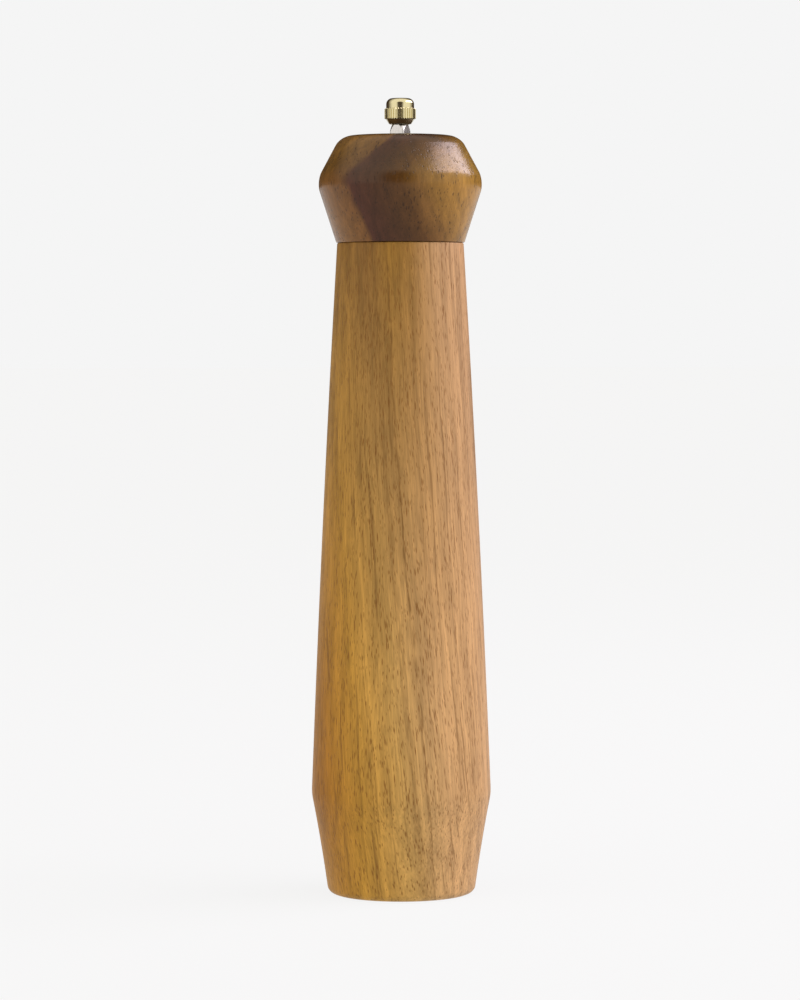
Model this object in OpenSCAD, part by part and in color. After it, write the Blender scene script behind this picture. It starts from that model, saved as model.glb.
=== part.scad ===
// Tall turned pepper mill: a wooden body and head round a square shaft that drives a ceramic burr,
// with a knurled nut on top that sets the grind.
// Millimetres, +Z up, origin at the centre of the foot, front of the mill towards -Y.

/* [Wooden body] */
// Height of the body, foot to seam
body_h = 249.8; // [200:0.1:300]
// Diameter across the foot
foot_d = 56.3; // [56:0.1:60]
// Diameter across the belly, before its edge is eased
belly_d = 69; // [66:0.1:76]
// Height of the belly above the foot
belly_z = 38.5; // [34:0.5:60]
// Diameter at the neck, where the head sits
neck_d = 48.4; // [46:0.1:56]
// How far the long taper bows out of a straight line
taper_bow = 0.55; // [0:0.05:1.5]
// How far the short taper under the belly hollows in
foot_hollow = 0.3; // [0:0.05:1]
// Diameter of the peppercorn chamber
chamber_d = 30; // [28:0.5:32]

/* [Wooden head] */
// Height of the head, seam to top
head_h = 40.9; // [36:0.1:50]
// Diameter of the head at the seam
head_base_d = 49.1; // [46:0.1:56]
// Diameter at the head's ridge, before its edge is eased
ridge_d = 64.2; // [60:0.1:70]
// Height of the ridge above the seam
ridge_h = 23.4; // [20:0.1:27]
// Diameter of the head's top, before its edge is eased
crown_d = 45.5; // [40:0.1:50]
// Length of the tenon that drops into the body
tenon_l = 13.5; // [10:0.5:18]

/* [Shaft] */
// Width across the flats of the square shaft
shaft_w = 6; // [5.6:0.1:6]
// Turn of the shaft, seen from above
shaft_turn = -28; // [-45:1:45]
// Pitch of the thread under the nut
thread_pitch = 1; // [0.8:0.1:1.2]
// How far the shaft rises from the coarsest grind to the finest
grind_rise = 1.5; // [0.5:0.1:1.5]

/* [Knurled nut] */
// Diameter over the knurl
knurl_d = 12; // [11.8:0.1:14]
// Number of ribs in the knurl
knurl_ribs = 36; // [24:1:60]
// Height of the whole nut
nut_h = 9.9; // [9.9:0.1:12]
// Clear shaft that shows between the head and the nut
nut_gap = 4.4; // [2.5:0.1:6]

/* [Grinder] */
// Ribs in the fine ring of each burr
fine_teeth = 30; // [12:1:36]
// Spiral flutes that feed the burr
feed_flutes = 6; // [4:1:8]
// Turns of wire in the spring
spring_turns = 5; // [4:0.5:6]

/* [Hidden] */
$fn = 96;
slip = 0.1;      // clearance between parts that slide or turn
overcut = 1;     // how far a cutting tool runs past a face

// Heights, foot upwards; the head stands a slip clear of the body at the seam
seam_z = body_h + slip;
crown_z = body_h + head_h;
nut_z = crown_z + nut_gap;
tenon_z = body_h - tenon_l;
tenon_d = chamber_d - 0.6;

// How softly the wood's edges are turned
foot_round = 3;
belly_round = 18;
neck_round = 0.5;
base_round = 0.4;
ridge_round = 10;
crown_round = 6.9;
tenon_round = 0.8;

// Fitting recesses in the foot
plate_z = 3;                 // underside of the base plate
plate_t = 1.2;
flange_z = plate_z + plate_t;
flange_t = 2;
recess_d = 46.4;
flange_d = recess_d - 0.6;
housing_d = 36;
housing_wall = 1.5;
housing_inner_d = housing_d - 2 * housing_wall;
housing_top = 28;
ledge_w = 1.2;               // the ledge that holds the stator down
ledge_t = 1.6;
bridge_top = 33;
mechanism_d = housing_d + 0.6;
mechanism_top = bridge_top + 2 * slip;

// Shaft ends
corner_r = shaft_w / sqrt(2) * 0.95;     // the bar's corners are drawn slightly round
journal_d = 5;
journal_top = 5.9;
journal_end = 1.8;
shoulder_h = 3;                          // cone turned between the square and the thread
thread_d = 5.94;
thread_depth = 0.5;
shoulder_top = nut_z + 0.2;
shaft_top = nut_z + 7.1;
shaft_hole_d = 9;
end_chamfer = 0.4;
seat = 0.02;                             // play of a washer or clip that is held between two faces
washer_t = 0.8;
clip_t = 0.7;
clip_d = 8.4;
clip_mouth = 3.2;
rotor_washer_d = 9.2;
groove_depth = 0.5;
groove_z = journal_top - washer_t - clip_t;

// Nut
dome_d = knurl_d - 1.3;
knurl_z = 1.9;
knurl_h = 4.1;
knurl_depth = 0.35;
dome_round = 2.5;
nut_foot_d = knurl_d - 3.5;
nut_bore_d = 6.1;
nut_bore_h = nut_h - 1.1;

// Drive plate
drive_plate_d = 25;
drive_plate_t = 1.5;
drive_plate_z = tenon_z - drive_plate_t;
drive_screw_r = 8.5;

// Screws
screw_d = 2.5;
screw_head_d = 4.6;
screw_head_h = 1.6;
screw_l = 10;
base_screw_r = (mechanism_d + recess_d) / 4 - 0.35;    // midway across the flange, a little inwards

// Burrs: the cone of the rotor's fine ring, and its gap to the stator at each end of the grind's range
rotor_z = journal_top;
rotor_h = 12.3;
rotor_foot_r = 13.5;
rotor_waist_r = 11.2;
rotor_waist_h = 4;
rotor_top_r = 7.2;
fine_gap = 0.14;
coarse_gap = fine_gap + grind_rise * (rotor_foot_r - rotor_waist_r) / rotor_waist_h;
stator_d = housing_inner_d - 4 * slip;
stator_h = 13;
stator_mouth_r = 13.7;
tooth_w = 0.9;
tooth_depth = 0.6;
tooth_slant = 14;
flute_w = 2.8;
flute_depth = 1.9;
flute_slant = 30;
key_w = 3;
key_depth = 1;
key_angles = [0, 120, 240];

// Spring and bush
spring_washer_z = rotor_z + rotor_h;
spring_z = spring_washer_z + washer_t;
spring_wire = 1.1;
spring_mean_r = 5.3;
spring_washer_d = 13;
bush_z = housing_top + slip;
bush_flange_d = 14;
bush_flange_t = 1;
bush_d = 11.2;
bush_top = 35;
spring_l = bush_z - spring_z;
hub_z = bush_z + bush_flange_t + slip;
hub_d = 17.2;
arm_w = 4.5;

walnut = [0.44, 0.29, 0.17];
honey_wood = [0.72, 0.53, 0.32];
gilt_brass = [0.78, 0.70, 0.50];
drawn_aluminium = [0.78, 0.78, 0.78];
stainless = [0.70, 0.70, 0.71];
ceramic_white = [0.93, 0.92, 0.88];
grey_plastic = [0.22, 0.22, 0.23];
nylon = [0.86, 0.85, 0.80];

// ---- Outlines ----

// Points of a chord that bows sideways by sag at its middle, ends included
function bowed(from, to, sag, steps) =
    let (along = to - from, side = [along.y, -along.x] / norm(along))
    [for (i = [0 : steps]) let (t = i / steps) from + along * t + side * sag * 4 * t * (1 - t)];

// Points of the arc that eases the corner at mid by radius r
function eased(from, mid, to, r, steps) =
    let (u = (from - mid) / norm(from - mid), v = (to - mid) / norm(to - mid),
         half = acos(u * v) / 2, reach = r / tan(half), centre = mid + (u + v) / norm(u + v) * r / sin(half),
         first = mid + u * reach - centre, last = mid + v * reach - centre,
         a = atan2(first.y, first.x), swing = atan2(last.y, last.x) - a,
         turn = swing > 180 ? swing - 360 : swing < -180 ? swing + 360 : swing)
    [for (i = [0 : steps]) centre + r * [cos(a + turn * i / steps), sin(a + turn * i / steps)]];

// All of a list but its two ends
function inner(points) = [for (i = [1 : len(points) - 2]) points[i]];

// ---- Shared shapes ----

module turned(outline) rotate_extrude() polygon(outline);

module ring(outer_d, inner_d, h) {
    difference() {
        cylinder(d = outer_d, h = h);
        translate([0, 0, -overcut]) cylinder(d = inner_d, h = h + 2 * overcut);
    }
}

module square_hole(h) {
    hole_w = shaft_w + 2 * slip;
    rotate(shaft_turn) translate([0, 0, h / 2]) cube([hole_w, hole_w, h], center = true);
}

// A V groove that runs up a cone's side from radius r1 at z1 to radius r2 at z2
module cone_groove(r1, z1, r2, z2, width, depth, skew) {
    reach = norm([r2 - r1, z2 - z1]);
    translate([(r1 + r2) / 2, 0, (z1 + z2) / 2])
        rotate([0, atan2(r2 - r1, z2 - z1), 0])
            rotate([skew, 0, 0])
                linear_extrude(reach + 2 * overcut, center = true)
                    polygon([[depth, 0], [-depth, -width], [-depth, width]]);
}

module pan_head_screw() {
    head_round = 0.5;
    point_l = 2;
    point_d = 0.4;
    shank_l = screw_l - point_l;
    cross_w = 0.7;
    cross_l = 2.8;
    cross_depth = 1;
    difference() {
        union() {
            turned([[0, 0], [screw_head_d / 2 - head_round, 0], [screw_head_d / 2, head_round],
                    [screw_head_d / 2, screw_head_h], [0, screw_head_h]]);
            translate([0, 0, screw_head_h]) cylinder(d = screw_d, h = shank_l);
            translate([0, 0, screw_head_h + shank_l]) cylinder(d1 = screw_d, d2 = point_d, h = point_l);
        }
        for (turn = [0, 90]) rotate(turn) cube([cross_l, cross_w, 2 * cross_depth], center = true);
    }
}

// ---- Wood ----

module body() {
    foot = [foot_d / 2, 0];
    belly = [belly_d / 2, belly_z];
    neck = [neck_d / 2, body_h];
    rim = [recess_d / 2, 0];
    short_taper = bowed(foot, belly, -foot_hollow, 8);
    long_taper = bowed(belly, neck, taper_bow, 24);
    color(honey_wood) difference() {
        turned(concat(
            [[0, 0]], eased(rim, foot, short_taper[1], foot_round, 8), inner(short_taper),
            eased(short_taper[7], belly, long_taper[1], belly_round, 6), inner(long_taper),
            eased(long_taper[23], neck, [0, body_h], neck_round, 4), [[0, body_h]]));
        translate([0, 0, -overcut]) cylinder(d = recess_d, h = flange_z + flange_t + overcut);
        cylinder(d = mechanism_d, h = mechanism_top);
        translate([0, 0, overcut]) cylinder(d = chamber_d, h = body_h);
        for (side = [0, 180]) rotate(side) translate([base_screw_r, 0, overcut])
            cylinder(d = screw_d + slip, h = screw_l + plate_z, $fn = 24);
    }
}

module head() {
    base = [head_base_d / 2, seam_z];
    ridge = [ridge_d / 2, seam_z + ridge_h];
    crown = [crown_d / 2, crown_z];
    tenon = [tenon_d / 2, tenon_z];
    color(walnut) difference() {
        turned(concat(
            [[0, tenon_z]], eased([0, tenon_z], tenon, [tenon.x, seam_z], tenon_round, 4),
            [[tenon.x, seam_z]],
            eased([tenon.x, seam_z], base, ridge, base_round, 4), eased(base, ridge, crown, ridge_round, 12),
            eased(ridge, crown, [0, crown_z], crown_round, 12), [[0, crown_z]]));
        translate([0, 0, tenon_z - overcut]) cylinder(d = shaft_hole_d, h = crown_z);
        rotate(shaft_turn) for (side = [0, 180]) rotate(side) translate([drive_screw_r, 0, tenon_z - overcut])
            cylinder(d = screw_d + slip, h = screw_l + overcut, $fn = 24);
    }
}

// ---- Shaft and nut ----

module adjusting_nut() {
    crest = knurl_d / 2;
    step = 360 / knurl_ribs;
    mouth_d = 2 * corner_r - 2 * slip;
    knurl = [for (i = [0 : knurl_ribs - 1], p = [[0, crest - knurl_depth], [0.35, crest], [0.65, crest]])
             let (a = (i + p.x) * step) p.y * [cos(a), sin(a)]];
    color(gilt_brass) translate([0, 0, nut_z]) difference() {
        union() {
            turned([[0, 0], [nut_foot_d / 2, 0], [dome_d / 2, knurl_z], [0, knurl_z]]);
            translate([0, 0, knurl_z]) linear_extrude(knurl_h) polygon(knurl);
            turned(concat([[0, knurl_z], [dome_d / 2, knurl_z]],
                eased([dome_d / 2, knurl_z], [dome_d / 2, nut_h], [0, nut_h], dome_round, 10), [[0, nut_h]]));
        }
        translate([0, 0, -overcut]) cylinder(d = nut_bore_d, h = nut_bore_h + overcut);
        translate([0, 0, -seat]) cylinder(d1 = mouth_d, d2 = nut_bore_d, h = shoulder_h + seat);
    }
}

module drive_shaft() {
    turns = floor((shaft_top - shoulder_top) / thread_pitch);
    crest = thread_d / 2;
    root = crest - thread_depth;
    thread = [for (i = [0 : turns - 1], p = [[0.1, crest], [0.5, root], [0.9, crest]])
              [p.y, shoulder_top + (i + p.x) * thread_pitch]];
    journal_r = journal_d / 2;
    groove_r = journal_r - groove_depth;
    color(drawn_aluminium) {
        difference() {
            rotate(shaft_turn) translate([0, 0, journal_top])
                linear_extrude(shoulder_top - journal_top) intersection() {
                    square(shaft_w, center = true);
                    circle(corner_r);
                }
            difference() {
                translate([0, 0, shoulder_top - shoulder_h])
                    cylinder(r = corner_r + overcut, h = shoulder_h + overcut);
                translate([0, 0, shoulder_top - shoulder_h - overcut])
                    cylinder(r1 = corner_r + overcut * (corner_r - crest) / shoulder_h, r2 = crest,
                             h = shoulder_h + overcut);
            }
        }
        turned(concat([[0, shoulder_top - overcut], [crest, shoulder_top - overcut]], thread,
                      [[crest, shaft_top - thread_depth], [root, shaft_top], [0, shaft_top]]));
        turned([[0, journal_end], [journal_r - end_chamfer, journal_end],
                [journal_r, journal_end + end_chamfer], [journal_r, groove_z], [groove_r, groove_z],
                [groove_r, groove_z + clip_t],
                [journal_r, groove_z + clip_t], [journal_r, journal_top + overcut],
                [0, journal_top + overcut]]);
    }
}

module drive_plate() {
    color(stainless) translate([0, 0, drive_plate_z]) difference() {
        cylinder(d = drive_plate_d, h = drive_plate_t - slip);
        translate([0, 0, -overcut]) square_hole(drive_plate_t + 2 * overcut);
        rotate(shaft_turn) for (side = [0, 180]) rotate(side) translate([drive_screw_r, 0, -overcut])
            cylinder(d = screw_d + 2 * slip, h = drive_plate_t + 2 * overcut, $fn = 24);
    }
}

module drive_plate_screw(side) {
    color(stainless) rotate(shaft_turn + side)
        translate([drive_screw_r, 0, drive_plate_z - screw_head_h]) pan_head_screw();
}

// ---- Grinder ----

module grinder_housing() {
    key_r = (housing_inner_d - key_depth) / 2;
    color(grey_plastic) {
        difference() {
            union() {
                translate([0, 0, flange_z]) cylinder(d = flange_d, h = flange_t);
                translate([0, 0, flange_z]) cylinder(d = housing_d, h = housing_top - flange_z);
            }
            translate([0, 0, flange_z - overcut])
                cylinder(d = housing_inner_d, h = stator_h + slip + overcut);
            cylinder(d = housing_inner_d - 2 * ledge_w, h = housing_top);
            translate([0, 0, flange_z + stator_h + ledge_t]) cylinder(d = housing_inner_d, h = housing_top);
            for (side = [0, 180]) rotate(side) translate([base_screw_r, 0, 0])
                cylinder(d = screw_d + 2 * slip, h = flange_z + flange_t + overcut, $fn = 24);
        }
        // Keys that stop the stator turning
        for (a = key_angles) rotate(a) translate([key_r, -key_w / 2, flange_z + flange_t])
            cube([key_depth, key_w, stator_h - flange_t]);
    }
}

module bearing_bridge() {
    spigot_h = 3;
    rim_inner_d = housing_inner_d - 3;
    color(grey_plastic) {
        translate([0, 0, housing_top]) ring(housing_d, rim_inner_d, bridge_top - housing_top);
        translate([0, 0, housing_top - spigot_h]) ring(housing_inner_d - 2 * slip, rim_inner_d, spigot_h);
        difference() {
            union() {
                translate([0, 0, hub_z]) cylinder(d = hub_d, h = bridge_top - hub_z);
                for (a = key_angles) rotate(a + 60) translate([0, -arm_w / 2, hub_z])
                    cube([rim_inner_d / 2 + overcut, arm_w, bridge_top - hub_z]);
            }
            translate([0, 0, hub_z - overcut]) cylinder(d = bush_d + 2 * slip, h = bridge_top);
        }
    }
}

module shaft_bush() {
    color(nylon) difference() {
        union() {
            translate([0, 0, bush_z]) cylinder(d = bush_flange_d, h = bush_flange_t);
            translate([0, 0, bush_z]) cylinder(d = bush_d, h = bush_top - bush_z);
        }
        translate([0, 0, bush_z - overcut]) square_hole(bush_top);
    }
}

// Height of the spring's wire after a number of turns: the end turns lie flat, the rest are open
function wire_rise(turn) =
    let (top = spring_l - spring_wire - slip, coil = spring_wire + seat,
         open = (top - 2 * coil) / (spring_turns - 2))
    turn < 1 ? turn * coil
    : turn > spring_turns - 1 ? top - (spring_turns - turn) * coil
    : coil + (turn - 1) * open;

module rotor_spring() {
    sides = 10;
    rings = 20;
    steps = rings * spring_turns;
    points = [for (i = [0 : steps], k = [0 : sides - 1])
        let (turn = i / rings, a = 360 * turn, b = 360 * k / sides,
             r = spring_mean_r + spring_wire / 2 * cos(b),
             z = spring_z + (slip + spring_wire) / 2 + wire_rise(turn) + spring_wire / 2 * sin(b))
        [r * cos(a), r * sin(a), z]];
    walls = [for (i = [0 : steps - 1], k = [0 : sides - 1])
        let (next = (k + 1) % sides)
        [i * sides + k, i * sides + next, (i + 1) * sides + next, (i + 1) * sides + k]];
    color(stainless) polyhedron(points,
        concat([[for (k = [0 : sides - 1]) sides - 1 - k]], walls,
               [[for (k = [0 : sides - 1]) steps * sides + k]]));
}

module spring_washer() {
    color(stainless) translate([0, 0, spring_washer_z]) ring(spring_washer_d, shaft_hole_d, washer_t);
}

module rotor_burr() {
    waist_z = rotor_z + rotor_waist_h;
    top_z = rotor_z + rotor_h;
    color(ceramic_white) difference() {
        turned([[0, rotor_z], [rotor_foot_r, rotor_z], [rotor_waist_r, waist_z], [rotor_top_r, top_z],
                [0, top_z]]);
        translate([0, 0, rotor_z - overcut]) square_hole(rotor_h + 2 * overcut);
        for (i = [0 : fine_teeth - 1]) rotate(i * 360 / fine_teeth)
            cone_groove(rotor_foot_r, rotor_z, rotor_waist_r, waist_z, tooth_w, tooth_depth, tooth_slant);
        for (i = [0 : feed_flutes - 1]) rotate(i * 360 / feed_flutes)
            cone_groove(rotor_waist_r + 0.5, waist_z + 1.4, rotor_top_r + 0.2, top_z + 1,
                        flute_w, flute_depth, flute_slant);
    }
}

module stator_burr() {
    waist_z = rotor_z + rotor_waist_h;
    top_z = flange_z + stator_h;
    foot_r = rotor_foot_r + coarse_gap;
    waist_r = rotor_waist_r + coarse_gap;
    color(ceramic_white) difference() {
        translate([0, 0, flange_z]) cylinder(d = stator_d, h = stator_h);
        turned([[0, flange_z - overcut], [foot_r, flange_z - overcut], [foot_r, rotor_z], [waist_r, waist_z],
                [stator_mouth_r, top_z], [stator_mouth_r, top_z + overcut], [0, top_z + overcut]]);
        for (i = [0 : fine_teeth - 1]) rotate((i + 0.5) * 360 / fine_teeth) mirror([1, 0, 0])
            cone_groove(-foot_r, rotor_z, -waist_r, waist_z, tooth_w, tooth_depth, -tooth_slant);
        for (a = key_angles) rotate(a) translate([stator_d / 2, 0, flange_z + stator_h / 2])
            cube([2 * key_depth, key_w + 2 * slip, stator_h + 2 * overcut], center = true);
    }
}

module rotor_washer() {
    color(stainless) translate([0, 0, journal_top - washer_t])
        ring(rotor_washer_d, journal_d + 2 * slip, washer_t - seat);
}

module retaining_clip() {
    color(stainless) translate([0, 0, groove_z + seat]) difference() {
        cylinder(d = clip_d, h = clip_t - 2 * seat);
        translate([0, 0, -overcut])
            cylinder(d = journal_d - 2 * groove_depth + slip, h = clip_t + 2 * overcut);
        translate([0, -clip_mouth / 2, -overcut]) cube([clip_d, clip_mouth, clip_t + 2 * overcut]);
        // Notches that leave the clip's three tongues
        for (a = [115, 245]) rotate(a) translate([clip_d / 3, 0, -overcut])
            cylinder(d = 1.6, h = clip_t + 2 * overcut, $fn = 24);
    }
}

module base_plate() {
    bar_w = 9;
    inner_d = 30.6;
    color(stainless) translate([0, 0, plate_z]) difference() {
        union() {
            ring(flange_d, inner_d, plate_t);
            translate([-inner_d / 2 - 0.5, -bar_w / 2, 0]) cube([inner_d + 1, bar_w, plate_t]);
        }
        translate([0, 0, -overcut]) cylinder(d = journal_d + 2 * slip, h = plate_t + 2 * overcut);
        for (side = [0, 180]) rotate(side) translate([base_screw_r, 0, -overcut])
            cylinder(d = screw_d + 2 * slip, h = plate_t + 2 * overcut, $fn = 24);
    }
}

module base_plate_screw(side) {
    color(stainless) rotate(side) translate([base_screw_r, 0, plate_z - screw_head_h]) pan_head_screw();
}

body();
head();
adjusting_nut();
drive_shaft();
drive_plate();
drive_plate_screw(0);  // drive_plate_screw_1
drive_plate_screw(180);  // drive_plate_screw_2
grinder_housing();
bearing_bridge();
shaft_bush();
rotor_spring();
spring_washer();
rotor_burr();
stator_burr();
rotor_washer();
retaining_clip();
base_plate();
base_plate_screw(0);  // base_plate_screw_1
base_plate_screw(180);  // base_plate_screw_2
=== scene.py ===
"""A tall turned pepper mill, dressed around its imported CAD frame.

Every piece but the two burrs and the retaining clip is remodelled here, as a turner and a fitter would make
it. Those three keep their CAD shape and get their finish. Lengths in the code are millimetres until they meet
Blender, which works in metres.
"""
import math

import bpy
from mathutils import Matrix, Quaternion, Vector


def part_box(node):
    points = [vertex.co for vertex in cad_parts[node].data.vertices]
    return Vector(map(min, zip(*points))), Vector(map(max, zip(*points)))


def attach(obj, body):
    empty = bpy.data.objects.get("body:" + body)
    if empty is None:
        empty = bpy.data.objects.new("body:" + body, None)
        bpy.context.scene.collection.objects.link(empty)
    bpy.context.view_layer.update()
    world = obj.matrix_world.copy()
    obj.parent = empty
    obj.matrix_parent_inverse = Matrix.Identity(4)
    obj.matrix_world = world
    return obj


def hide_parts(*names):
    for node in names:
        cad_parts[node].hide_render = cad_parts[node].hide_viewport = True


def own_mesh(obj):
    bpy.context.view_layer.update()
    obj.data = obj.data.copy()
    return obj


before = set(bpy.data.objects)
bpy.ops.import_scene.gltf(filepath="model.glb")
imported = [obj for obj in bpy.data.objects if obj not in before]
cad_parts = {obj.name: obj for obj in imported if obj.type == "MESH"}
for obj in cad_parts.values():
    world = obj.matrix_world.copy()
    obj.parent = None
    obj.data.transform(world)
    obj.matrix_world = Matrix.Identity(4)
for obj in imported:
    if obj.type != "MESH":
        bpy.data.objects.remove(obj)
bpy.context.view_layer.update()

MM = 0.001


# ---- The mill's measures, in millimetres -------------------------------------------------------------------

def height_of(node, end):
    """The height of a CAD node's foot (end 0) or top (end 1)."""
    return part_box(node)[end].z / MM


def radius_of(node):
    """Half the width of a round CAD node."""
    low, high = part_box(node)
    return (high.x - low.x) / 2 / MM


FOOT_R = 28.15
BELLY_R = 34.5
BELLY_Z = 38.5
NECK_R = 24.2
TAPER_BOW = 0.55
FOOT_HOLLOW = 0.3
BODY_TOP = height_of("body", 1)
CHAMBER_R = 15
RECESS_R = 23.2
RECESS_TOP = 6.2
MECHANISM_R = 18.3
MECHANISM_TOP = 33.2

HEAD_BASE_R = 24.55
RIDGE_R = 32.1
RIDGE_H = 23.4
CROWN_R = 22.75
SEAM_Z = BODY_TOP + 0.1
CROWN_Z = height_of("head", 1)
TENON_R = 14.7
TENON_Z = height_of("head", 0)
SHAFT_HOLE_R = 4.5

NUT_Z = height_of("adjusting_nut", 0)
NUT_TOP = height_of("adjusting_nut", 1)
KNURL_R = radius_of("adjusting_nut")

SHAFT_W = 6
SQUARE_HOLE_W = SHAFT_W + 0.2
SHAFT_TURN = -28
SHAFT_TOP = height_of("drive_shaft", 1)
JOURNAL_TOP = 5.9
SHOULDER_TOP = NUT_Z + 0.2

HOUSING_R = 18
HOUSING_INNER_R = 16.5
FLANGE_R = 22.9
BASE_SCREW_R = 20.4
DRIVE_SCREW_R = 8.5
SCREW_HOLE_R = 1.35
SPRING_Z = height_of("spring_washer", 1)
BUSH_Z = height_of("shaft_bush", 0)


# ---- Bench tools -------------------------------------------------------------------------------------------

def put_down():
    """Leaves edit mode and lets go of everything."""
    if bpy.context.object and bpy.context.object.mode != "OBJECT":
        bpy.ops.object.mode_set(mode="OBJECT")
    bpy.ops.object.select_all(action="DESELECT")


def take_up(piece):
    """Makes one piece the selected and active one."""
    put_down()
    piece.select_set(True)
    bpy.context.view_layer.objects.active = piece


def pick(piece, wanted, kind="VERT"):
    """In edit mode, selects the vertices, edges or faces whose middle (in mm) and data pass the test."""
    bpy.ops.object.mode_set(mode="OBJECT")
    mesh = piece.data
    for items in (mesh.vertices, mesh.edges, mesh.polygons):
        for item in items:
            item.select = False
    places = [v.co / MM for v in mesh.vertices]
    if kind == "VERT":
        for v in mesh.vertices:
            v.select = wanted(places[v.index])
    elif kind == "EDGE":
        for e in mesh.edges:
            e.select = wanted(*(places[i] for i in e.vertices))
    else:
        for f in mesh.polygons:
            f.select = wanted(f.center / MM, f.normal)
    bpy.ops.object.mode_set(mode="EDIT")
    bpy.ops.mesh.select_mode(type=kind)


def around(radius, angle, height=0.0):
    """A place in mm at a radius and an angle in degrees round the mill's axis."""
    turned = math.radians(angle)
    return Vector((radius * math.cos(turned), radius * math.sin(turned), height))


def draw_path(name, points):
    """Draws a path from point to point in mm, each extruded from the last, and leaves it in edit mode."""
    put_down()
    bpy.ops.mesh.primitive_plane_add(size=MM, location=(0, 0, 0))
    piece = bpy.context.object
    piece.name = piece.data.name = name
    bpy.ops.object.mode_set(mode="EDIT")
    bpy.ops.mesh.select_mode(type="VERT")
    bpy.ops.mesh.select_all(action="SELECT")
    bpy.ops.mesh.merge(type="CENTER")
    bpy.ops.transform.translate(value=Vector(points[0]) * MM)
    for start, end in zip(points, points[1:]):
        step = (Vector(end) - Vector(start)) * MM
        bpy.ops.mesh.extrude_region_move(TRANSFORM_OT_translate={"value": step})
    return piece


def draw_outline(name, points, closed=True):
    """Draws an outline in the XZ plane from pairs of radius and height, and leaves it in edit mode."""
    piece = draw_path(name, [(x, 0, z) for x, z in points])
    if closed:
        pick(piece, lambda p: min(math.dist((p.x, p.z), points[i]) for i in (0, -1)) < 1e-4)
        bpy.ops.mesh.edge_face_add()
    return piece


def ease(piece, corner, reach, segments=6):
    """Rounds one corner of an outline, starting reach mm before it."""
    pick(piece, lambda p: math.dist((p.x, p.z), corner) < 1e-3)
    bpy.ops.mesh.bevel(offset=reach * MM, offset_type="OFFSET", segments=segments, affect="VERTICES")


def turn(piece, steps):
    """Spins an outline about the mill's axis into a closed, smooth-shaded solid."""
    bpy.ops.mesh.select_all(action="SELECT")
    bpy.ops.mesh.spin(steps=steps, angle=2 * math.pi, center=(0, 0, 0), axis=(0, 0, 1), use_auto_merge=True)
    close_up()
    smooth(piece)


def settled(piece):
    """Puts a piece's place, turn and scale into its mesh."""
    take_up(piece)
    bpy.ops.object.transform_apply(location=True, rotation=True, scale=True)
    return piece


def rod(radius, low, high, place=(0, 0), sides=64):
    """A plain round rod between two heights."""
    put_down()
    middle = Vector((place[0], place[1], (low + high) / 2)) * MM
    length = (high - low) * MM
    bpy.ops.mesh.primitive_cylinder_add(vertices=sides, radius=radius * MM, depth=length, location=middle)
    return settled(bpy.context.object)


def block(size, place, turned=0.0):
    """A plain block of a size in mm, turned in plan by degrees."""
    put_down()
    facing = (0, 0, math.radians(turned))
    bpy.ops.mesh.primitive_cube_add(size=1, location=Vector(place) * MM, rotation=facing)
    bpy.context.object.scale = Vector(size) * MM
    return settled(bpy.context.object)


def close_up():
    """Merges doubled points and turns every face outwards."""
    bpy.ops.mesh.select_all(action="SELECT")
    bpy.ops.mesh.remove_doubles(threshold=1e-6)
    bpy.ops.mesh.normals_make_consistent(inside=False)


def smooth(piece, angle=35):
    """Smooth shading that keeps edges sharper than the angle."""
    take_up(piece)
    bpy.ops.object.shade_smooth_by_angle(angle=math.radians(angle))


def finish_with(piece, kind, **settings):
    """Adds a modifier with its settings and applies it."""
    take_up(piece)
    modifier = piece.modifiers.new(kind.title(), kind)
    for name, value in settings.items():
        setattr(modifier, name, value)
    bpy.ops.object.modifier_apply(modifier=modifier.name)


def carve(piece, tool, operation="DIFFERENCE"):
    """Cuts one solid with another, or joins them, and clears the tool away."""
    finish_with(piece, "BOOLEAN", operation=operation, object=tool, solver="EXACT")
    bpy.data.objects.remove(tool, do_unlink=True)


def break_edges(piece, width):
    """Takes the sharpness off every edge that turns by more than 40 degrees."""
    finish_with(piece, "BEVEL", width=width * MM, segments=2, limit_method="ANGLE",
                angle_limit=math.radians(40))
    smooth(piece)


def thread_ridge(crest, root, low, high, pitch):
    """A V ridge that winds up a stud, to be joined to it. Its foot runs into the stud's core."""
    inside = root - 0.3
    half = 0.45 * pitch
    ridge = draw_outline("thread_ridge", [(inside, low - half), (crest, low), (inside, low + half)])
    bpy.ops.object.mode_set(mode="OBJECT")
    turns = (high - low) / pitch
    finish_with(ridge, "SCREW", axis="Z", angle=2 * math.pi * turns, screw_offset=(high - low) * MM,
                steps=round(32 * turns), render_steps=round(32 * turns), use_merge_vertices=False)
    bpy.ops.object.mode_set(mode="EDIT")
    bpy.ops.mesh.select_all(action="SELECT")
    bpy.ops.mesh.remove_doubles(threshold=1e-7)
    bpy.ops.mesh.fill_holes(sides=0)
    close_up()
    put_down()
    return ridge


def bowed(start, end, sag, steps):
    """Points strictly between two ends, on a line that bows outwards by sag at its middle."""
    a, b = Vector(start), Vector(end)
    side = Vector((b.y - a.y, a.x - b.x)).normalized()
    places = [i / steps for i in range(1, steps)]
    return [tuple(a.lerp(b, t) + side * sag * 4 * t * (1 - t)) for t in places]


def fit(piece, body, slot, material, *nodes):
    """Hands a finished piece to the frame: its body, the CAD nodes it stands for and its finish.
    The slot is not used.
    """
    put_down()
    piece.data.materials.clear()
    piece.data.materials.append(material)
    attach(piece, body)
    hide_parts(*nodes)


# ---- Finishes ----------------------------------------------------------------------------------------------

def srgb(code, alpha=1.0):
    """A hex colour as linear RGBA."""
    parts = [int(code[i:i + 2], 16) / 255 for i in (1, 3, 5)]
    return [c / 12.92 if c <= 0.04045 else ((c + 0.055) / 1.055) ** 2.4 for c in parts] + [alpha]


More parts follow.
